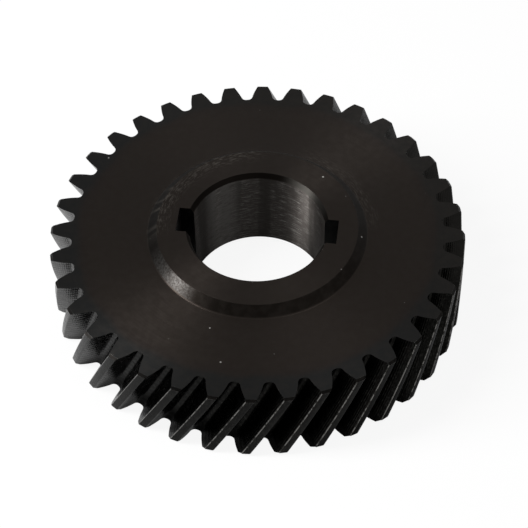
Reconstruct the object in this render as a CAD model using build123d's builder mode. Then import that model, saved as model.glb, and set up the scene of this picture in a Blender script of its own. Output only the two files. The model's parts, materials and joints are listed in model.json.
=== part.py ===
"""Helical gear with a turned hub face, a chamfered bore and two opposite keyways.

Frame: +Z runs along the bore axis towards the hub face, the origin is the bore centre
in the plain rear face, and +X points along the two keyways.  All lengths are in mm.
"""
from build123d import *
import os
from math import acos, atan, cos, hypot, pi, radians, sin, tan

# --- gear cutting data ------------------------------------------------------------
NORMAL_MODULE = 2.0          # hob module, measured square to the teeth
TOOTH_COUNT = 36
HELIX_ANGLE = 25.0           # degrees at the pitch cylinder, right hand
PRESSURE_ANGLE = 20.0        # degrees, measured square to the teeth
ADDENDUM_FACTOR = 0.94       # tooth height above the pitch cylinder, in modules
DEDENDUM_FACTOR = 1.25       # tooth depth below the pitch cylinder, in modules
BACKLASH = 0.16              # arc taken off each tooth at the pitch cylinder
ROOT_FILLET = 0.63           # rounding where a flank runs into the tooth space
FACE_WIDTH = 18.3            # length of the teeth along the axis
HUB_TIP_CHAMFER = 0.5        # 45 degrees, turned on the tooth tips at the hub face
REAR_TIP_CHAMFER = 0.9       # 45 degrees, turned on the tooth tips at the rear face
TOOTH_PHASE = 5.2            # degrees from +X to the first tooth centre at the hub face

# --- hub, bore and keyways --------------------------------------------------------
BOSS_TOP_DIAMETER = 40.3     # flat ring round the bore
BOSS_HEIGHT = 2.0            # ring above the face of the teeth
BOSS_CONE_ANGLE = 45.0       # degrees between the boss's side and the axis
BOSS_BASE_FILLET = 0.3       # tool radius where the cone meets the face
BORE_DIAMETER = 27.2
BORE_TOP_CHAMFER = 0.7       # 45 degrees, at the boss
BORE_REAR_CHAMFER = 1.0      # 45 degrees, at the plain rear face
KEYWAY_WIDTH = 6.1
KEYWAY_DEPTH = 2.5           # from the bore wall to the keyway floor

# --- values that follow from the above --------------------------------------------
FLANK_POINTS = 5             # points that carry each involute curve
transverse_pressure = atan(tan(radians(PRESSURE_ANGLE)) / cos(radians(HELIX_ANGLE)))
pitch_radius = TOOTH_COUNT * NORMAL_MODULE / (2 * cos(radians(HELIX_ANGLE)))
base_radius = pitch_radius * cos(transverse_pressure)
tip_radius = pitch_radius + ADDENDUM_FACTOR * NORMAL_MODULE
root_radius = pitch_radius - DEDENDUM_FACTOR * NORMAL_MODULE
helix_lead = 2 * pi * pitch_radius / tan(radians(HELIX_ANGLE))
face_twist = 360 * FACE_WIDTH / helix_lead
bore_radius = BORE_DIAMETER / 2
keyway_floor = bore_radius + KEYWAY_DEPTH
boss_top_radius = BOSS_TOP_DIAMETER / 2
boss_base_radius = boss_top_radius + BOSS_HEIGHT * tan(radians(BOSS_CONE_ANGLE))
hub_face = FACE_WIDTH + BOSS_HEIGHT


def involute(roll_pressure):
    """Involute function: the angle the curve has turned through at a pressure angle."""
    return tan(roll_pressure) - roll_pressure


def half_tooth_angle(radius):
    """Half the tooth's thickness at a radius, as an angle in radians about the axis."""
    pitch_half = pi / (2 * TOOTH_COUNT) - BACKLASH / (2 * pitch_radius)
    local_pressure = acos(min(1.0, base_radius / radius))
    return pitch_half + involute(transverse_pressure) - involute(local_pressure)


def flank_point(radius, side):
    """Point of a tooth flank at a radius; side is +1 or -1 of a tooth centred on +X."""
    angle = side * half_tooth_angle(radius)
    return (radius * cos(angle), radius * sin(angle))


# Each involute starts at the root circle, or at the base circle if that is larger.
flank_start = max(root_radius, base_radius)
flank_radii = [
    flank_start + (tip_radius - flank_start) * i / (FLANK_POINTS - 1) for i in range(FLANK_POINTS)
]
inside_root = root_radius - NORMAL_MODULE / 2

# One tooth in the plane square to the axis, run down into the root disc.
with BuildSketch() as tooth_section:
    with BuildLine():
        rising = Spline([flank_point(radius, -1) for radius in flank_radii])
        falling = Spline([flank_point(radius, 1) for radius in reversed(flank_radii)])
        ThreePointArc(rising @ 1, (tip_radius, 0), falling @ 0)
        foot_angle = half_tooth_angle(flank_start)
        foot = (inside_root * cos(foot_angle), inside_root * sin(foot_angle))
        Polyline(falling @ 1, foot, (foot[0], -foot[1]), rising @ 0)
    make_face()

# All teeth on the root disc, with the rounded corners that the hob leaves.
with BuildSketch() as toothed_section:
    Circle(root_radius)
    with PolarLocations(0, TOOTH_COUNT, start_angle=TOOTH_PHASE - face_twist):
        add(tooth_section.sketch)
    root_corners = toothed_section.vertices().filter_by(
        lambda corner: abs(hypot(corner.X, corner.Y) - flank_start) < 0.01
    )
    fillet(root_corners, ROOT_FILLET)

with BuildLine() as gear_axis:
    Line((0, 0, 0), (0, 0, FACE_WIDTH))

# The guide's lead makes every point of the section turn with the right-hand helix.
with BuildLine() as tooth_guide:
    Helix(pitch=helix_lead, height=FACE_WIDTH, radius=pitch_radius)

with BuildPart() as helical_gear:
    sweep(sections=toothed_section.sketch, path=gear_axis.line, binormal=tooth_guide.edge())

    # Edge breaks at both ends of the teeth, turned as one blank outline.
    with BuildSketch(Plane.XZ):
        with BuildLine():
            Polyline(
                (0, 0),
                (tip_radius - REAR_TIP_CHAMFER, 0),
                (tip_radius, REAR_TIP_CHAMFER),
                (tip_radius, FACE_WIDTH - HUB_TIP_CHAMFER),
                (tip_radius - HUB_TIP_CHAMFER, FACE_WIDTH),
                (0, FACE_WIDTH),
                close=True,
            )
        make_face()
    revolve(axis=Axis.Z, mode=Mode.INTERSECT)

    # Raised boss with a conical side.
    with BuildSketch(Plane.XZ):
        with BuildLine():
            Polyline(
                (0, FACE_WIDTH),
                (boss_base_radius, FACE_WIDTH),
                (boss_top_radius, hub_face),
                (0, hub_face),
                close=True,
            )
        make_face()
    revolve(axis=Axis.Z)
    boss_foot = helical_gear.edges().filter_by(GeomType.CIRCLE).filter_by(
        lambda edge: abs(edge.radius - boss_base_radius) < 0.01
    )
    fillet(boss_foot, BOSS_BASE_FILLET)

    # Bore right through, chamfered at both mouths.
    with BuildSketch(Plane.XY.offset(hub_face)):
        Circle(bore_radius)
    extrude(amount=-hub_face, mode=Mode.SUBTRACT)
    bore_mouths = helical_gear.edges().filter_by(GeomType.CIRCLE).filter_by(
        lambda edge: abs(edge.radius - bore_radius) < 0.01
    )
    chamfer(bore_mouths.sort_by(Axis.Z)[-1], BORE_TOP_CHAMFER)
    chamfer(bore_mouths.sort_by(Axis.Z)[0], BORE_REAR_CHAMFER)

    # Two keyways opposite each other, broached right through.
    with BuildSketch(Plane.XY.offset(hub_face)):
        Rectangle(2 * keyway_floor, KEYWAY_WIDTH)
    extrude(amount=-hub_face, mode=Mode.SUBTRACT)

helical_gear.part.label = "helical_gear"
os.makedirs("parts", exist_ok=True)
export_step(helical_gear.part, "parts/helical_gear.step")

print("tip diameter", round(2 * tip_radius, 3), "pitch diameter", round(2 * pitch_radius, 3))
print("lead", round(helix_lead, 3), "twist over the face", round(face_twist, 3))
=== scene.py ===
"""Dresses the helical gear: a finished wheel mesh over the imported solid, its black
oxide finish, a pale floor, soft lamps and the camera."""
import json
from math import acos, asin, atan, atan2, copysign, cos, hypot, pi, radians, sin, sqrt, tan

import bmesh
import bpy
from bpy.props import FloatProperty, FloatVectorProperty, IntProperty, PointerProperty
from bpy.types import Operator, Panel, PropertyGroup
from mathutils import Matrix, Vector


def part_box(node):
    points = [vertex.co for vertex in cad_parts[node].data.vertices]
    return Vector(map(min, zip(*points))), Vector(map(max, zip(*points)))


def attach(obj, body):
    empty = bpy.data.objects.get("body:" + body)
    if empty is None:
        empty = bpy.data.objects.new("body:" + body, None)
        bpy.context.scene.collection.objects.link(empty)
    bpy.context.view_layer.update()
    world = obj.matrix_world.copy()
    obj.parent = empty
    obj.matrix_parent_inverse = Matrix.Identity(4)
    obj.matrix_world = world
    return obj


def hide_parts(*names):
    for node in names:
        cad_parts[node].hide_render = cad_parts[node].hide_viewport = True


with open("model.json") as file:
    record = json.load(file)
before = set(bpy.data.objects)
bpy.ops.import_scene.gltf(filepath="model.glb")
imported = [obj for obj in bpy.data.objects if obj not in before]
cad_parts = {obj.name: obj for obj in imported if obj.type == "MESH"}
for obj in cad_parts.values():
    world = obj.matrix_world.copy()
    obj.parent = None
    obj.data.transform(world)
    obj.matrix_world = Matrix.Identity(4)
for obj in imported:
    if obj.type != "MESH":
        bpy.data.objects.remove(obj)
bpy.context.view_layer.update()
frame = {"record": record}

bl_info = {
    "name": "Helical gear",
    "version": (1, 0, 0),
    "blender": (4, 5, 0),
    "location": "3D View > Sidebar > Gear",
    "description": "Builds and finishes a keyed helical gear with a conical hub boss",
    "category": "Add Mesh",
}

NODE = "helical_gear"
MOUNTS = {mount["name"]: mount for mount in frame["record"]["mounts"]}
NODE_LOW, NODE_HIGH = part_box(NODE)
MM = 0.001
TURNED, FLANK, BORE, KEYWAY, EDGE = range(5)     # material slots of the wheel's surfaces


# --- sizes and colours ------------------------------------------------------------
class GearSizes(PropertyGroup):
    """Sizes of the gear wheel, in metres and radians."""

    tooth_count: IntProperty(name="Teeth", description="Number of teeth", default=36)
    normal_module: FloatProperty(
        name="Normal module",
        description="Hob module, measured square to the teeth",
        default=2.0 * MM,
        unit="LENGTH",
    )
    helix_angle: FloatProperty(
        name="Helix angle",
        description="Right-hand helix at the pitch cylinder",
        default=radians(25),
        subtype="ANGLE",
    )
    pressure_angle: FloatProperty(
        name="Pressure angle",
        description="Measured square to the teeth",
        default=radians(20),
        subtype="ANGLE",
    )
    tip_radius: FloatProperty(
        name="Tip radius",
        description="Outside radius over the teeth",
        default=(NODE_HIGH[0] - NODE_LOW[0]) / 2,
        unit="LENGTH",
    )
    dedendum: FloatProperty(
        name="Dedendum",
        description="Tooth depth below the pitch cylinder",
        default=2.5 * MM,
        unit="LENGTH",
    )
    backlash: FloatProperty(
        name="Backlash",
        description="Arc taken off each tooth at the pitch cylinder",
        default=0.16 * MM,
        unit="LENGTH",
    )
    root_fillet: FloatProperty(
        name="Root fillet",
        description="Rounding where a flank runs into the tooth space",
        default=1.0 * MM,
        unit="LENGTH",
    )
    tip_round: FloatProperty(
        name="Tip rounding",
        description="Worn rounding along the edges of the tooth tips",
        default=0.3 * MM,
        unit="LENGTH",
    )
    face_width: FloatProperty(
        name="Face width",
        description="Length of the teeth along the axis",
        default=18.3 * MM,
        unit="LENGTH",
    )
    hub_tip_chamfer: FloatProperty(
        name="Hub side tip chamfer",
        description="Edge break turned on the tooth tips at the hub face",
        default=0.5 * MM,
        unit="LENGTH",
    )
    rear_tip_chamfer: FloatProperty(
        name="Rear tip chamfer",
        description="Edge break turned on the tooth tips at the rear face",
        default=0.9 * MM,
        unit="LENGTH",
    )
    tooth_phase: FloatProperty(
        name="Tooth phase",
        description="Angle from +X to the first tooth centre at the hub face",
        default=radians(5.2),
        subtype="ANGLE",
    )
    hub_face: FloatProperty(
        name="Hub face height",
        description="Height of the boss's top ring above the rear face",
        default=NODE_HIGH[2],
        unit="LENGTH",
    )
    boss_top_radius: FloatProperty(
        name="Boss top radius",
        description="Outside radius of the flat ring round the bore",
        default=20.15 * MM,
        unit="LENGTH",
    )
    boss_fillet: FloatProperty(
        name="Boss foot fillet",
        description="Tool radius where the boss's cone meets the face",
        default=0.3 * MM,
        unit="LENGTH",
    )
    bore_radius: FloatProperty(
        name="Bore radius",
        description="Radius of the bore wall",
        default=MOUNTS["bore"]["dims"]["r_mm"] * MM,
        unit="LENGTH",
    )
    bore_top_chamfer: FloatProperty(
        name="Bore top chamfer",
        description="Radial width of the bore's lead-in at the boss",
        default=0.7 * MM,
        unit="LENGTH",
    )
    bore_lead: FloatProperty(
        name="Bore lead-in",
        description="Length along the axis of the bore's lead-in at the boss",
        default=1.25 * MM,
        unit="LENGTH",
    )
    bore_rear_chamfer: FloatProperty(
        name="Bore rear chamfer",
        description="Edge break of the bore at the rear face",
        default=1.0 * MM,
        unit="LENGTH",
    )
    keyway_width: FloatProperty(
        name="Keyway width",
        description="Width of each keyway",
        default=6.1 * MM,
        unit="LENGTH",
    )
    keyway_depth: FloatProperty(
        name="Keyway depth",
        description="Depth of each keyway from the bore wall",
        default=MOUNTS["keyway_plus_x"]["pos_m"][0] - MOUNTS["bore"]["dims"]["r_mm"] * MM,
        unit="LENGTH",
    )
    edge_break: FloatProperty(
        name="Edge break",
        description="Small rounding that tumbling leaves on every sharp edge",
        default=0.12 * MM,
        unit="LENGTH",
    )


def oxide_color(name, description, default):
    return FloatVectorProperty(
        name=name, description=description, default=default, subtype="COLOR", min=0, max=1
    )


def small_length(name, description, millimetres):
    return FloatProperty(
        name=name, description=description, default=millimetres * MM, unit="LENGTH", precision=5
    )


class GearFinish(PropertyGroup):
    """Colours of the oxide and sizes of the tool marks."""

    web_color: oxide_color("Web", "Brown-black oxide on the turned faces", (0.0195, 0.0160, 0.0138))
    rim_color: oxide_color("Rim", "Cooler oxide on the hardened rim", (0.0145, 0.0147, 0.0146))
    cone_color: oxide_color("Cone", "Oxide on the boss's side", (0.0080, 0.0066, 0.0056))
    break_color: oxide_color("Edge breaks", "Oxide on the chamfers", (0.0042, 0.0040, 0.0038))
    tooth_color: oxide_color("Teeth", "Oxide on the hobbed flanks", (0.0036, 0.0035, 0.0032))
    land_color: oxide_color("Tip lands", "Rubbed oxide on the tooth tips", (0.0052, 0.0051, 0.0048))
    bore_color: oxide_color("Bore", "Thin oxide on the bored wall", (0.0400, 0.0355, 0.0325))
    keyway_color: oxide_color("Keyways", "Oxide in the broached keyways", (0.0060, 0.0056, 0.0052))
    steel_color: oxide_color("Steel", "Bare steel where the oxide is worn off", (0.42, 0.41, 0.39))
    turning_feed: small_length("Turning feed", "Pitch of the turned grooves", 0.16)
    turning_depth: small_length("Turning depth", "Height of the turned grooves", 0.004)
    hobbing_feed: small_length("Hobbing feed", "Pitch of the scallops along a tooth", 1.5)
    hobbing_depth: small_length("Hobbing depth", "Height of the scallops along a tooth", 0.035)
    boring_depth: small_length("Boring depth", "Height of the scratches on the bored wall", 0.02)


# --- the wheel's geometry ---------------------------------------------------------
FLANK_STEPS = 9          # points up each flank
ARC_STEPS = 4            # spans in each root fillet
TIP_ARC_STEPS = 3        # spans in each tip rounding
SWEEP_STEPS = 24         # rows of faces along the teeth
WELD = 0.002 * MM        # points closer than this are one point


class ToothForm:
    """Involute tooth form in the plane square to the axis."""

    def __init__(self, sizes):
        self.count = sizes.tooth_count
        self.pressure = atan(tan(sizes.pressure_angle) / cos(sizes.helix_angle))
        self.pitch_radius = self.count * sizes.normal_module / (2 * cos(sizes.helix_angle))
        self.base_radius = self.pitch_radius * cos(self.pressure)
        self.tip_radius = sizes.tip_radius
        self.root_radius = self.pitch_radius - sizes.dedendum
        self.pitch_half = pi / (2 * self.count) - sizes.backlash / (2 * self.pitch_radius)
        self.twist_rate = tan(sizes.helix_angle) / self.pitch_radius

    def half_tooth(self, radius):
        """Half the tooth's angle at a radius."""
        local = acos(min(1.0, self.base_radius / radius))
        return self.pitch_half + (tan(self.pressure) - self.pressure) - (tan(local) - local)

    def flank(self, radius):
        """Point of the flank beside a tooth space that is centred on +X."""
        angle = pi / self.count - self.half_tooth(radius)
        return Vector((radius * cos(angle), radius * sin(angle)))

    def flank_normal(self, radius):
        """Unit normal of that flank, out of the metal."""
        step = 0.01 * MM
        along = self.flank(radius + step) - self.flank(radius - step)
        return Vector((along.y, -along.x)).normalized()

    def rolled_circle(self, size, outer, side):
        """Centre and flank radius of a circle that touches the flank and a round surface."""
        low, high = self.root_radius, self.tip_radius
        for _ in range(40):
            radius = (low + high) / 2
            centre = self.flank(radius) + self.flank_normal(radius) * size * side
            if centre.length > outer:
                high = radius
            else:
                low = radius
        return centre, radius


def arc_between(centre, start, end, steps):
    """Points on a circle from start to end, the short way round, ends included."""
    first, last = start - centre, end - centre
    turn = first.angle_signed(last)
    return [centre + Matrix.Rotation(-turn * i / steps, 2) @ first for i in range(steps + 1)]


def half_space_outline(form, sizes):
    """Outline from the middle of a tooth space up its flank to the tooth tip."""
    fillet, fillet_end = form.rolled_circle(sizes.root_fillet, form.root_radius + sizes.root_fillet, 1)
    rounding, round_start = form.rolled_circle(sizes.tip_round, form.tip_radius - sizes.tip_round, -1)
    foot = fillet.normalized() * form.root_radius
    crest = rounding.normalized() * form.tip_radius
    points = [Vector((form.root_radius, 0))]
    points += arc_between(fillet, foot, form.flank(fillet_end), ARC_STEPS)
    radii = {fillet_end + (round_start - fillet_end) * i / FLANK_STEPS for i in range(1, FLANK_STEPS)}
    radii |= {form.tip_radius - sizes.hub_tip_chamfer, form.tip_radius - sizes.rear_tip_chamfer}
    points += [form.flank(radius) for radius in sorted(radii) if fillet_end < radius < round_start]
    points += arc_between(rounding, form.flank(round_start), crest, TIP_ARC_STEPS)
    return points


def tooth_outline(form, sizes):
    """Outline of one tooth centred on +X, from one tooth space's middle to the next."""
    half = half_space_outline(form, sizes)
    rising = [Matrix.Rotation(-pi / form.count, 2) @ point for point in half]
    falling = [Vector((point.x, -point.y)) for point in reversed(rising)]
    return rising + [Vector((form.tip_radius, 0))] + falling


def polar(vert):
    return hypot(vert.co.x, vert.co.y), atan2(vert.co.y, vert.co.x)


def put(vert, radius, angle, height):
    vert.co = (radius * cos(angle), radius * sin(angle), height)


def new_loop(bm, points, height, closed=True):
    """Vertices joined by edges through the points at one height."""
    verts = [bm.verts.new((x, y, height)) for x, y in points]
    pairs = list(zip(verts, verts[1:]))
    if closed:
        pairs.append((verts[-1], verts[0]))
    return [bm.edges.new(pair) for pair in pairs]


def loop_verts(edges):
    return list({vert for edge in edges for vert in edge.verts})


def drawn_ring(bm, edges, zone, place):
    """Extrudes a ring of edges, places each new vertex and returns the new ring."""
    made = bmesh.ops.extrude_edge_only(bm, edges=edges)["geom"]
    for face in (item for item in made if isinstance(item, bmesh.types.BMFace)):
        face.material_index = zone
    old = set(edges)
    verts = [item for item in made if isinstance(item, bmesh.types.BMVert)]
    fresh = set(verts)
    for vert in verts:
        place(vert)
    return [
        item
        for item in made
        if isinstance(item, bmesh.types.BMEdge) and item not in old and set(item.verts) <= fresh
    ]


def turned_ring(bm, edges, zone, radius, height):
    """Extrudes a ring to a circle of that radius at that height."""
    return drawn_ring(bm, edges, zone, lambda vert: put(vert, radius, polar(vert)[1], height))


def filled_between(bm, outer, inner, zone, normal):
    """Fills the flat ring between two closed loops in one plane."""
    fill = bmesh.ops.triangle_fill(bm, edges=outer + inner, use_beauty=True, normal=normal)
    for face in (item for item in fill["geom"] if isinstance(item, bmesh.types.BMFace)):
        face.material_index = zone


def tooth_ring(bm, form, sizes):
    """Closed outline of all the teeth at the rear face."""
    edges = new_loop(bm, tooth_outline(form, sizes), 0, closed=False)
    pitch = 2 * pi / form.count
    bmesh.ops.spin(
        bm,
        geom=loop_verts(edges) + edges,
        axis=(0, 0, 1),
        angle=pitch * (form.count - 1),
        steps=form.count - 1,
        use_duplicate=True,
    )
    bmesh.ops.remove_doubles(bm, verts=bm.verts[:], dist=WELD)
    start = sizes.tooth_phase - form.twist_rate * sizes.face_width
    bmesh.ops.rotate(bm, verts=bm.verts[:], matrix=Matrix.Rotation(start, 3, "Z"))
    return bm.edges[:]


def swept_teeth(bm, form, sizes, ring):
    """Screws the outline up the face width and returns the ring at the hub face."""
    bmesh.ops.spin(
        bm,
        geom=loop_verts(ring) + ring,
        axis=(0, 0, 1),
        dvec=(0, 0, sizes.face_width / SWEEP_STEPS),
        angle=form.twist_rate * sizes.face_width,
        steps=SWEEP_STEPS,
    )
    for face in bm.faces:
        face.material_index = FLANK
    top = sizes.face_width - WELD
    return [edge for edge in bm.edges if all(vert.co.z > top for vert in edge.verts)]


def end_face(bm, form, ring, height, inward, chamfer, rim_radius):
    """Turns the tip chamfer on one end, faces it and returns the ring inside the teeth.

    inward is +1 where the metal lies above the end face and -1 where it lies below."""
    limit = form.tip_radius - chamfer

    def lift(vert):
        radius, angle = polar(vert)
        rise = inward * max(0.0, radius - limit)
        put(vert, radius, angle + form.twist_rate * rise, height + rise)

    def flatten(vert):
        radius, angle = polar(vert)
        put(vert, min(radius, limit), angle - form.twist_rate * (vert.co.z - height), height)

    for vert in loop_verts(ring):
        lift(vert)
    ring = drawn_ring(bm, ring, TURNED, flatten)
    return turned_ring(bm, ring, TURNED, rim_radius, height)


def keyed_outline(radius, half_width, floor):
    """Bore outline with a keyway on each side along X, anticlockwise from the +X one."""
    wall_steps, floor_steps, arc_steps = 4, 8, 56
    corner = asin(half_width / radius)
    start = radius * cos(corner)
    quarter = [(floor, half_width * i / floor_steps) for i in range(floor_steps)]
    quarter += [(floor + (start - floor) * i / wall_steps, half_width) for i in range(wall_steps)]
    upper = list(quarter)
    for i in range(arc_steps + 1):
        angle = corner + (pi - 2 * corner) * i / arc_steps
        upper.append((radius * cos(angle), radius * sin(angle)))
    upper += [(-x, y) for x, y in reversed(quarter[1:])]
    return upper + [(-x, -y) for x, y in upper]


def keyed_bore(bm, sizes):
    """Bore wall with its chamfers and keyways; returns the loops that lie in the end faces."""
    half_width = sizes.keyway_width / 2
    floor = sizes.bore_radius + sizes.keyway_depth
    top_mouth = sizes.bore_radius + sizes.bore_top_chamfer
    rear_mouth = sizes.bore_radius + sizes.bore_rear_chamfer

    def resized(old, new, height, margin=0.0):
        """Placer from one radius to another, which moves the keyways out by margin."""
        corner = half_width + margin

        def place(vert):
            x, y = vert.co.x, vert.co.y
            radius, angle = polar(vert)
            on_wall = abs(abs(y) - half_width) < WELD
            on_floor = abs(abs(x) - floor) < WELD
            if abs(radius - old) < WELD and on_wall:
                vert.co = (copysign(sqrt(new**2 - corner**2), x), copysign(corner, y), height)
            elif abs(radius - old) < WELD:
                put(vert, new, angle, height)
            else:
                x += copysign(margin, x) if on_floor else 0
                y += copysign(margin, y) if on_wall else 0
                vert.co = (x, y, height)

        return place

    lip = 0.2 * MM
    top = new_loop(bm, keyed_outline(top_mouth, half_width, floor), sizes.hub_face)
    top_lip = drawn_ring(
        bm, top, TURNED, resized(top_mouth, top_mouth + lip, sizes.hub_face, lip)
    )
    chamfer_foot = sizes.hub_face - sizes.bore_lead
    ring = drawn_ring(bm, top, BORE, resized(top_mouth, sizes.bore_radius, chamfer_foot))
    wall_rows = 8
    for i in range(1, wall_rows + 1):
        drop = (chamfer_foot - sizes.bore_rear_chamfer) * i / wall_rows
        place = resized(sizes.bore_radius, sizes.bore_radius, chamfer_foot - drop)
        ring = drawn_ring(bm, ring, BORE, place)
    rear = drawn_ring(bm, ring, BORE, resized(sizes.bore_radius, rear_mouth, 0))
    rear_lip = drawn_ring(bm, rear, TURNED, resized(rear_mouth, rear_mouth + lip, 0, lip))
    return top_lip, rear_lip


def in_keyway(point, sizes):
    """Whether a point of the bore's surface lies on a keyway's walls or floor."""
    beside = abs(point.y) < sizes.keyway_width / 2 + WELD
    return beside and hypot(point.x, point.y) > sizes.bore_radius - WELD


def on_worn_tip(face, form, sizes):
    """Whether a face lies in the tip rounding on the loaded, clockwise side of a tooth."""
    middle = face.calc_center_median()
    outward = Vector((middle.x, middle.y, 0))
    around = Vector((-middle.y, middle.x, 0)).normalized()
    lean = face.normal.dot(around)
    return outward.length > form.tip_radius - sizes.tip_round and -0.95 < lean < -0.2


def gear_mesh(sizes):
    """Mesh of the whole wheel."""
    form = ToothForm(sizes)
    rim_radius = form.root_radius - 0.6 * MM
    bm = bmesh.new()
    rear_ring = tooth_ring(bm, form, sizes)
    hub_ring = swept_teeth(bm, form, sizes, rear_ring)
    web = sizes.face_width
    rear = end_face(bm, form, rear_ring, 0, 1, sizes.rear_tip_chamfer, rim_radius)
    hub = end_face(bm, form, hub_ring, web, -1, sizes.hub_tip_chamfer, rim_radius)

    boss_height = sizes.hub_face - web
    foot_radius = sizes.boss_top_radius + boss_height
    setback = sizes.boss_fillet * tan(pi / 8)
    fillet_steps = 4
    hub = turned_ring(bm, hub, TURNED, (rim_radius + foot_radius) / 2, web)
    for i in range(fillet_steps + 1):
        turn = pi / 4 * i / fillet_steps
        radius = foot_radius + setback - sizes.boss_fillet * sin(turn)
        hub = turned_ring(bm, hub, TURNED, radius, web + sizes.boss_fillet * (1 - cos(turn)))
    hub = turned_ring(bm, hub, TURNED, sizes.boss_top_radius, sizes.hub_face)
    hub = turned_ring(bm, hub, TURNED, sizes.boss_top_radius - 0.6 * MM, sizes.hub_face)
    lip_radius = hypot(sizes.bore_radius + sizes.keyway_depth, sizes.keyway_width / 2) + 1.2 * MM
    hub = turned_ring(bm, hub, TURNED, lip_radius, sizes.hub_face)
    rear = turned_ring(bm, rear, TURNED, lip_radius, 0)

    top_lip, rear_lip = keyed_bore(bm, sizes)
    filled_between(bm, hub, top_lip, TURNED, (0, 0, 1))
    filled_between(bm, rear, rear_lip, TURNED, (0, 0, -1))
    bmesh.ops.remove_doubles(bm, verts=bm.verts[:], dist=WELD)
    bmesh.ops.recalc_face_normals(bm, faces=bm.faces[:])
    for face in bm.faces:
        face.smooth = True
        if face.material_index == FLANK and on_worn_tip(face, form, sizes):
            face.material_index = EDGE
        if face.material_index == BORE and in_keyway(face.calc_center_median(), sizes):
            face.material_index = KEYWAY
    mesh = bpy.data.meshes.new("gear_wheel")
    bm.to_mesh(mesh)
    bm.free()
    return mesh


class GEAR_OT_wheel(Operator):
    """Build the gear wheel with its teeth, boss, bore and keyways"""

    bl_idname = "gear.wheel"
    bl_label = "Gear wheel"

    def execute(self, context):
        sizes = context.scene.gear_sizes
        finish = context.scene.gear_finish
        mesh = gear_mesh(sizes)
        wheel = bpy.data.objects.new("gear_wheel", mesh)
        context.collection.objects.link(wheel)
        for make_finish in (turned_face, hobbed_teeth, bored_wall, broached_keyway, worn_edge):
            mesh.materials.append(make_finish(sizes, finish))
        bevel = wheel.modifiers.new("Edge break", "BEVEL")
        bevel.width = sizes.edge_break
        bevel.segments = 2
        bevel.limit_method = "ANGLE"
        bevel.angle_limit = radians(28)
        bevel.harden_normals = True
        bevel.material = EDGE
        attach(wheel, "root")
        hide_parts(NODE)
        return {"FINISHED"}


# --- shader nodes -----------------------------------------------------------------
class Socket:
    """One node output, which takes part in plain arithmetic."""

    def __init__(self, nodes, output):
        self.nodes = nodes
        self.output = output

    def other(self, name):
        """Another output of the same node."""
        return Socket(self.nodes, self.output.node.outputs[name])

    def __add__(self, other):
        return self.nodes.math("ADD", self, other)

    def __sub__(self, other):
        return self.nodes.math("SUBTRACT", self, other)

    def __rsub__(self, other):
        return self.nodes.math("SUBTRACT", other, self)

    def __mul__(self, other):
        return self.nodes.math("MULTIPLY", self, other)

    def __truediv__(self, other):
        return self.nodes.math("DIVIDE", self, other)

    def __rtruediv__(self, other):
        return self.nodes.math("DIVIDE", other, self)

    __radd__ = __add__
    __rmul__ = __mul__


class Nodes:
    """Node tree of a material or a world."""

    def __init__(self, owner):
        owner.use_nodes = True
        self.tree = owner.node_tree
        self.tree.nodes.clear()

    def add(self, kind, settings=None, values=None, output=0):
        """Adds a node: its settings first, then the values or links of its sockets."""
        node = self.tree.nodes.new(kind)
        for name, setting in (settings or {}).items():
            setattr(node, name, setting)
        for name, value in (values or {}).items():
            if isinstance(value, Socket):
                self.tree.links.new(value.output, node.inputs[name])
            else:
                node.inputs[name].default_value = value
        return Socket(self, node.outputs[output]) if len(node.outputs) else None

    def math(self, operation, *values):
        return self.add("ShaderNodeMath", {"operation": operation}, dict(enumerate(values)))

    def vector_math(self, operation, *values, output=0):
        settings = {"operation": operation}
        return self.add("ShaderNodeVectorMath", settings, dict(enumerate(values)), output)

    def scaled(self, vector, factor):
        settings = {"operation": "SCALE"}
        return self.add("ShaderNodeVectorMath", settings, {0: vector, "Scale": factor})

    def vector(self, x, y, z):
        return self.add("ShaderNodeCombineXYZ", None, {"X": x, "Y": y, "Z": z})

    def mix(self, share, first, second):
        """Blend of two colours."""
        settings = {"data_type": "RGBA"}
        return self.add("ShaderNodeMix", settings, {0: share, 6: first, 7: second}, output=2)

    def rise(self, value, low, high):
        """0 up to low, 1 from high on, smooth between; reversed where high is the lower."""
        settings = {"interpolation_type": "SMOOTHSTEP"}
        return self.add("ShaderNodeMapRange", settings, {"Value": value, 1: low, 2: high})

    def peak(self, value, middle, reach):
        """1 at the middle, falling to 0 at reach from it."""
        return self.rise(self.math("ABSOLUTE", value - middle), reach, 0.0)

    def wave(self, turns):
        """Sine between -1 and 1, which repeats each time its input grows by 1."""
        return self.math("SINE", turns * (2 * pi))

    def noise(self, place, scale, detail=2.0, roughness=0.5):
        """Noise between about 0.2 and 0.8."""
        values = {"Vector": place, "Scale": scale, "Detail": detail, "Roughness": roughness}
        return self.add("ShaderNodeTexNoise", None, values)


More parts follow.
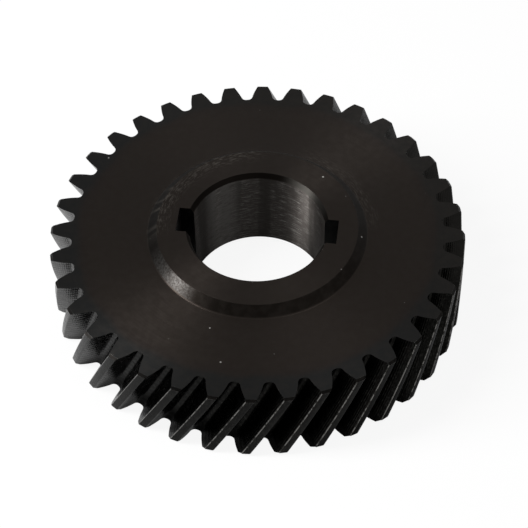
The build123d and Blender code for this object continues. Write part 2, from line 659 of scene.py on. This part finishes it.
class WheelNodes(Nodes):
    """Nodes of one of the wheel's materials, with its own places in millimetres."""

    def __init__(self, name):
        self.material = bpy.data.materials.new(name)
        super().__init__(self.material)
        local = self.add("ShaderNodeTexCoord", output="Object")
        self.place = self.scaled(local, 1 / MM)
        across = self.vector_math("MULTIPLY", self.place, (1, 1, 0))
        self.radius = self.vector_math("LENGTH", across, output="Value")
        self.heading = self.vector_math("NORMALIZE", across)
        self.height = self.add("ShaderNodeSeparateXYZ", None, {0: self.place}, output="Z")

    def toward(self, degrees):
        """Cosine of the angle about the axis from that many degrees off +X."""
        direction = (cos(radians(degrees)), sin(radians(degrees)), 0)
        return self.vector_math("DOT_PRODUCT", self.heading, direction, output="Value")

    def sector(self, degrees, reach, fade=8):
        """1 within reach degrees of a direction, fading out to 0."""
        edge, end = cos(radians(reach)), cos(radians(reach + fade))
        return self.rise(self.toward(degrees), end, edge)

    def ringed(self, across, along):
        """Coordinates for marks that follow circles about the axis.

        across is the marks per millimetre over the circles, along those per radian."""
        over = self.radius * across + self.height * across
        around = self.scaled(self.heading, along)
        return self.vector_math("ADD", around, self.vector(0, 0, over))

    def specks(self, spacing, size, share):
        """Sparse round specks of that size, in millimetres; share is how many stay."""
        cells = self.add("ShaderNodeTexVoronoi", None, {"Vector": self.place, "Scale": 1 / spacing})
        pick = self.add("ShaderNodeSeparateColor", None, {0: cells.other("Color")})
        inside = self.rise(cells, size / 2 / spacing, size / 4 / spacing)
        return inside * self.math("GREATER_THAN", pick, 1 - share)

    def finished(self, color, roughness, relief, depth, anisotropic=0.0, sheen=1.0):
        """Steel shader over a relief that runs from 0 to 1 for the whole depth.

        sheen under 1 dulls what the surface mirrors at a glancing angle."""
        bump = self.add("ShaderNodeBump", None, {"Distance": depth, "Height": relief})
        values = {
            "Base Color": color,
            "Metallic": 1.0,
            "Roughness": roughness,
            "Anisotropic": anisotropic,
            "Anisotropic Rotation": 0.25,
            "Specular Tint": (sheen, sheen, sheen, 1),
            "Normal": bump,
        }
        shader = self.add("ShaderNodeBsdfPrincipled", None, values)
        self.add("ShaderNodeOutputMaterial", None, {"Surface": shader})
        return self.material


def rgba(color):
    return (*color, 1.0)


# Lesser tones of the oxide, and painted highlights, a painted sheen and a painted reflection, mixed
# over the colours that the finish sets.
WARM_RIM_SHEEN = (0.0165, 0.0148, 0.0132, 1)
TEMPER_TINT = (0.0200, 0.0150, 0.0128, 1)
CONE_HIGHLIGHT = (0.048, 0.046, 0.044, 1)
SMEARED = (0.026, 0.0225, 0.020, 1)
SCUFFED = (0.075, 0.068, 0.060, 1)
MOTTLED = (0.0110, 0.0108, 0.0098, 1)
HATCHED = (0.0150, 0.0148, 0.0135, 1)
FLANK_REFLECTION = (0.0130, 0.0124, 0.0113, 1)
SCRATCH = (0.170, 0.164, 0.155, 1)
STAINED = (0.022, 0.020, 0.018, 1)
WALL_HIGHLIGHT = (0.110, 0.106, 0.100, 1)
MOUTH_HIGHLIGHT = (0.034, 0.032, 0.029, 1)
BROACH_LINE = (0.016, 0.015, 0.014, 1)
SOUND_EDGE = (0.009, 0.0085, 0.008, 1)
THIN_EDGE = (0.024, 0.023, 0.021, 1)


def turned_face(sizes, finish):
    """Turned and oxidised faces: web, rim, boss ring, boss cone and tip chamfers."""
    nodes = WheelNodes("turned_face")
    break_start = (sizes.tip_radius - sizes.hub_tip_chamfer) / MM
    boss = sizes.boss_top_radius / MM
    foot = boss + (sizes.hub_face - sizes.face_width) / MM
    web_height = sizes.face_width / MM

    # Brown oxide on the web, cooler towards the hardened teeth.
    cloud = nodes.noise(nodes.place, 0.09, 3.0)
    drift = nodes.noise(nodes.place, 0.6, 4.0, 0.6)
    edge = nodes.radius + (cloud - 0.5) * 3.0
    rim = nodes.rise(edge, 33.4, 37.4)
    color = nodes.mix(rim, rgba(finish.web_color), rgba(finish.rim_color))
    # Painted sheen: the rim is lighter and warmer toward 47 degrees, where the lamp's fan highlight
    # falls on the turned face.
    color = nodes.mix(rim * nodes.sector(47, 40, 50) * 0.6, color, WARM_RIM_SHEEN)
    tint = nodes.peak(edge, 35.2, 1.6) * 0.4
    color = nodes.mix(tint, color, TEMPER_TINT)

    # The cone and the edge breaks keep their darker oxide, with a patchy painted highlight on one side
    # of the cone.
    on_cone = nodes.rise(nodes.radius, boss - 0.05, boss + 0.1)
    on_cone = on_cone * nodes.rise(nodes.height, web_height + 0.1, web_height + 0.3)
    on_break = nodes.rise(nodes.radius, break_start - 0.05, break_start + 0.1)
    color = nodes.mix(on_cone, color, rgba(finish.cone_color))
    # Painted highlight: patchy lighter steel on the cone toward 221 degrees.
    highlight_patches = nodes.noise(nodes.place, 2.6, 4.0, 0.7)
    cone_highlight = nodes.sector(221, 4, 18) * nodes.rise(highlight_patches, 0.25, 0.75) * on_cone
    color = nodes.mix(cone_highlight, color, CONE_HIGHLIGHT)
    color = nodes.mix(on_break, color, rgba(finish.break_color))

    # Smears and handling marks.
    smear = nodes.rise(drift, 0.35, 0.7)
    color = nodes.mix(smear * 0.22, color, SMEARED)

    # Arc scuffs round the boss's outer edge, mostly over one side of the hub face.
    side = nodes.sector(142, 34, 22)
    scuff_noise = nodes.noise(nodes.ringed(6.0, 15.0), 1.0, 2.0, 0.6)
    band = nodes.peak(nodes.radius, boss - 0.3, 3.4)
    far_side = nodes.sector(42, 18, 20) * nodes.peak(nodes.radius, foot + 1.0, 2.5) * 0.4
    hub_side = nodes.rise(nodes.height, web_height - 1, web_height - 0.5)
    where = nodes.math("MAXIMUM", band * side, far_side) * hub_side
    scuff = nodes.rise(scuff_noise, 0.52, 0.62) * where
    color = nodes.mix(scuff * 0.8, color, SCUFFED)

    # Bright specks where the oxide is chipped.
    specks = nodes.specks(3.0, 0.50, 0.14) + nodes.specks(1.7, 0.16, 0.08)
    color = nodes.mix(specks * 0.6, color, rgba(finish.steel_color))

    grooves = nodes.wave((nodes.radius + nodes.height) / (finish.turning_feed / MM)) * 0.5
    lay = nodes.noise(nodes.ringed(4.0, 3.0), 1.0, 3.0, 0.6)
    relief = grooves * 0.5 + lay + specks * 0.6
    rough = 0.37 + (lay - 0.5) * 0.18 + smear * 0.04 + scuff * 0.1
    return nodes.finished(color, rough, relief, finish.turning_depth, anisotropic=0.8)


def hobbed_teeth(sizes, finish):
    """Hobbed flanks and roots, with the rubbed lands at the tooth tips."""
    nodes = WheelNodes("hobbed_teeth")
    land = nodes.rise(nodes.radius, sizes.tip_radius / MM - 0.30, sizes.tip_radius / MM - 0.05)
    mottle = nodes.noise(nodes.place, 0.55, 4.0, 0.65)
    grain = nodes.noise(nodes.place, 6.0, 3.0, 0.6)
    color = nodes.mix(land, rgba(finish.tooth_color), rgba(finish.land_color))
    color = nodes.mix(nodes.rise(mottle, 0.45, 0.75) * 0.5, color, MOTTLED)

    # Hatching along the teeth, a painted reflection on the flanks of one side and rubbed spots on the
    # lands.
    hatch = nodes.noise(nodes.vector_math("MULTIPLY", nodes.place, (1, 1, 0.3)), 3.2, 3.0, 0.7)
    color = nodes.mix(nodes.rise(hatch, 0.50, 0.64) * 0.7, color, HATCHED)
    # Painted reflection: the flanks below the tip lands are lighter toward 30 degrees.
    flank_reflection = nodes.sector(30, 24, 24) * (1 - land)
    color = nodes.mix(flank_reflection * 0.8, color, FLANK_REFLECTION)
    wear_and_highlight = nodes.rise(grain, 0.68, 0.80) * land
    color = nodes.mix(wear_and_highlight * 0.08, color, rgba(finish.steel_color))

    # Scallops of the hob's feed and the facets of its cuts, on the flanks only.
    scallops = nodes.wave((nodes.height + nodes.radius * 0.35) / (finish.hobbing_feed / MM)) * 0.5
    facets = nodes.wave(nodes.radius / 0.42) * 0.5
    relief = (scallops * 0.5 + facets * 0.5) * (1 - land) + mottle * 0.6 + grain * 0.3 + hatch
    rough = 0.24 + (mottle - 0.5) * 0.24 + (grain - 0.5) * 0.12
    return nodes.finished(color, rough, relief, finish.hobbing_depth, sheen=0.65)


def bored_wall(sizes, finish):
    """Bored wall with fine scratches that follow the tool round."""
    nodes = WheelNodes("bored_wall")
    scratches = nodes.noise(nodes.ringed(9.0, 5.0), 1.0, 3.0, 0.7)
    coarse = nodes.noise(nodes.ringed(2.2, 9.0), 1.0, 2.0, 0.6)
    streaks = nodes.noise(nodes.vector_math("MULTIPLY", nodes.place, (1, 1, 0.06)), 0.35, 2.0)
    bright = nodes.rise(scratches, 0.52, 0.66)
    color = nodes.mix(bright * 0.8, rgba(finish.bore_color), SCRATCH)
    color = nodes.mix(nodes.rise(streaks, 0.42, 0.60) * 0.6, color, STAINED)
    # Painted highlight: a lighter band down the bore wall toward 130 degrees.
    wear_and_highlight = nodes.sector(130, 3, 18) * nodes.rise(streaks + coarse, 0.6, 1.2)
    color = nodes.mix(wear_and_highlight * 0.5, color, WALL_HIGHLIGHT)
    mouth = nodes.rise(nodes.radius, sizes.bore_radius / MM + 0.02, sizes.bore_radius / MM + 0.12)
    # Painted highlight: the bore's lead-in takes the cone's oxide and is lighter toward 46 degrees.
    rim = nodes.mix(nodes.sector(46, 8, 24), rgba(finish.cone_color), MOUTH_HIGHLIGHT)
    color = nodes.mix(mouth, color, rim)
    relief = (scratches * 0.7 + coarse * 0.3) * (1 - mouth * 0.8)
    rough = 0.50 + (scratches - 0.5) * 0.20 + (streaks - 0.5) * 0.10
    return nodes.finished(color, rough, relief, finish.boring_depth, anisotropic=1.0)


def broached_keyway(sizes, finish):
    """Keyway walls with the lines that a broach leaves along the axis."""
    nodes = WheelNodes("broached_keyway")
    lines = nodes.noise(nodes.vector_math("MULTIPLY", nodes.place, (1, 1, 0.03)), 5.0, 3.0, 0.6)
    stain = nodes.noise(nodes.place, 0.4, 3.0)
    color = nodes.mix(nodes.rise(lines, 0.5, 0.8) * 0.5, rgba(finish.keyway_color), BROACH_LINE)
    rough = 0.40 + (lines - 0.5) * 0.3 + (stain - 0.5) * 0.2
    return nodes.finished(color, rough, lines, finish.boring_depth)


def worn_edge(sizes, finish):
    """Sharp edges, where the oxide is rubbed thin and bare steel shows in places."""
    nodes = WheelNodes("worn_edge")
    on_tip = nodes.rise(nodes.radius, sizes.tip_radius / MM - 0.6, sizes.tip_radius / MM - 0.4)
    wear = nodes.noise(nodes.place, 0.9, 5.0, 0.7) + on_tip * 0.2
    bare = nodes.rise(wear, 0.63, 0.72)
    color = nodes.mix(nodes.rise(wear, 0.42, 0.64), SOUND_EDGE, THIN_EDGE)
    color = nodes.mix(bare * 0.25, color, rgba(finish.steel_color))
    grain = nodes.noise(nodes.place, 8.0, 2.0)
    rough = 0.34 - bare * 0.08 + (grain - 0.5) * 0.1
    return nodes.finished(color, rough, grain, finish.boring_depth)


# --- stage ------------------------------------------------------------------------
class GEAR_OT_stage(Operator):
    """Set the floor, the lamps, the world and the camera"""

    bl_idname = "gear.stage"
    bl_label = "Stage"

    def execute(self, context):
        scene = context.scene
        scene.view_settings.view_transform = "Standard"
        build_floor(context)
        build_world(scene)
        build_lamps(context)
        build_camera(context)
        return {"FINISHED"}


def shown_to(nodes, camera_share, mirror_share):
    """camera_share for camera rays, mirror_share for glossy and transmission rays, else 0."""
    path = nodes.add("ShaderNodeLightPath", output="Is Camera Ray")
    mirrored = nodes.math("MAXIMUM", path.other("Is Glossy Ray"), path.other("Is Transmission Ray"))
    return path * camera_share + mirrored * mirror_share


def build_floor(context):
    bm = bmesh.new()
    bmesh.ops.create_grid(bm, x_segments=1, y_segments=1, size=3.0)
    mesh = bpy.data.meshes.new("floor")
    bm.to_mesh(mesh)
    bm.free()
    floor = bpy.data.objects.new("floor", mesh)
    context.collection.objects.link(floor)
    material = bpy.data.materials.new("pale_floor")
    nodes = Nodes(material)
    share = shown_to(nodes, 0.9, 0.1)
    matt = nodes.add("ShaderNodeBsdfDiffuse", None, {"Color": (0.9, 0.9, 0.9, 1)})
    white = nodes.add("ShaderNodeEmission", None, {"Color": (1, 1, 1, 1), "Strength": 1.0})
    surface = nodes.add("ShaderNodeMixShader", None, {0: share, 1: matt, 2: white})
    nodes.add("ShaderNodeOutputMaterial", None, {"Surface": surface})
    mesh.materials.append(material)


def build_world(scene):
    scene.world = bpy.data.worlds.new("studio")
    nodes = Nodes(scene.world)
    room = 0.3
    seen = shown_to(nodes, 1 - room, 1 - room)
    white = nodes.add("ShaderNodeBackground", None, {"Strength": seen + room})
    nodes.add("ShaderNodeOutputWorld", None, {"Surface": white})


def build_lamps(context):
    middle = Vector((0, 0, (NODE_LOW[2] + NODE_HIGH[2]) / 2))
    lamps = (
        ("window", (-0.433, -0.119, 0.351), (0.13, 0.55), 5.0),
        ("overhead", (0.20, 0.02, 0.62), (0.16, 0.30), 0.6),
    )
    for name, offset, (width, tall), power in lamps:
        light = bpy.data.lights.new(name, "AREA")
        light.shape = "RECTANGLE"
        light.size = width
        light.size_y = tall
        light.energy = power
        lamp = bpy.data.objects.new(name, light)
        context.collection.objects.link(lamp)
        lamp.location = middle + Vector(offset)
        lamp.rotation_euler = (-Vector(offset)).to_track_quat("-Z", "Y").to_euler()


def build_camera(context):
    azimuth, elevation, roll = radians(7.4434), radians(50.3344), radians(-0.9955)
    distance = 378.15 * MM
    aim_right, aim_up = 1.327 * MM, -6.390 * MM
    back = Vector((sin(azimuth) * cos(elevation), -cos(azimuth) * cos(elevation), sin(elevation)))
    level = Vector((cos(azimuth), sin(azimuth), 0))
    rise = back.cross(level)
    right = level * cos(roll) + rise * sin(roll)
    up = rise * cos(roll) - level * sin(roll)
    sizes = context.scene.gear_sizes
    camera_data = bpy.data.cameras.new("camera")
    camera_data.sensor_width = 36
    camera_data.lens = 128.62
    camera = bpy.data.objects.new("camera", camera_data)
    context.collection.objects.link(camera)
    place = Vector((0, 0, sizes.face_width)) + back * distance + right * aim_right + up * aim_up
    camera.matrix_world = Matrix.Translation(place) @ Matrix((right, up, back)).transposed().to_4x4()
    context.scene.camera = camera


class GEAR_PT_panel(Panel):
    """Lists the gear's operators"""

    bl_idname = "GEAR_PT_panel"
    bl_label = "Helical gear"
    bl_space_type = "VIEW_3D"
    bl_region_type = "UI"
    bl_category = "Gear"

    def draw(self, context):
        for operator in OPERATORS:
            self.layout.operator(operator.bl_idname)


OPERATORS = (GEAR_OT_wheel, GEAR_OT_stage)
CLASSES = (GearSizes, GearFinish, *OPERATORS, GEAR_PT_panel)


def register():
    for cls in CLASSES:
        bpy.utils.register_class(cls)
    bpy.types.Scene.gear_sizes = PointerProperty(type=GearSizes)
    bpy.types.Scene.gear_finish = PointerProperty(type=GearFinish)


def unregister():
    del bpy.types.Scene.gear_finish
    del bpy.types.Scene.gear_sizes
    for cls in reversed(CLASSES):
        bpy.utils.unregister_class(cls)


def main():
    register()
    bpy.ops.gear.wheel()
    bpy.ops.gear.stage()
    bpy.context.view_layer.update()


if __name__ == "__main__":
    main()
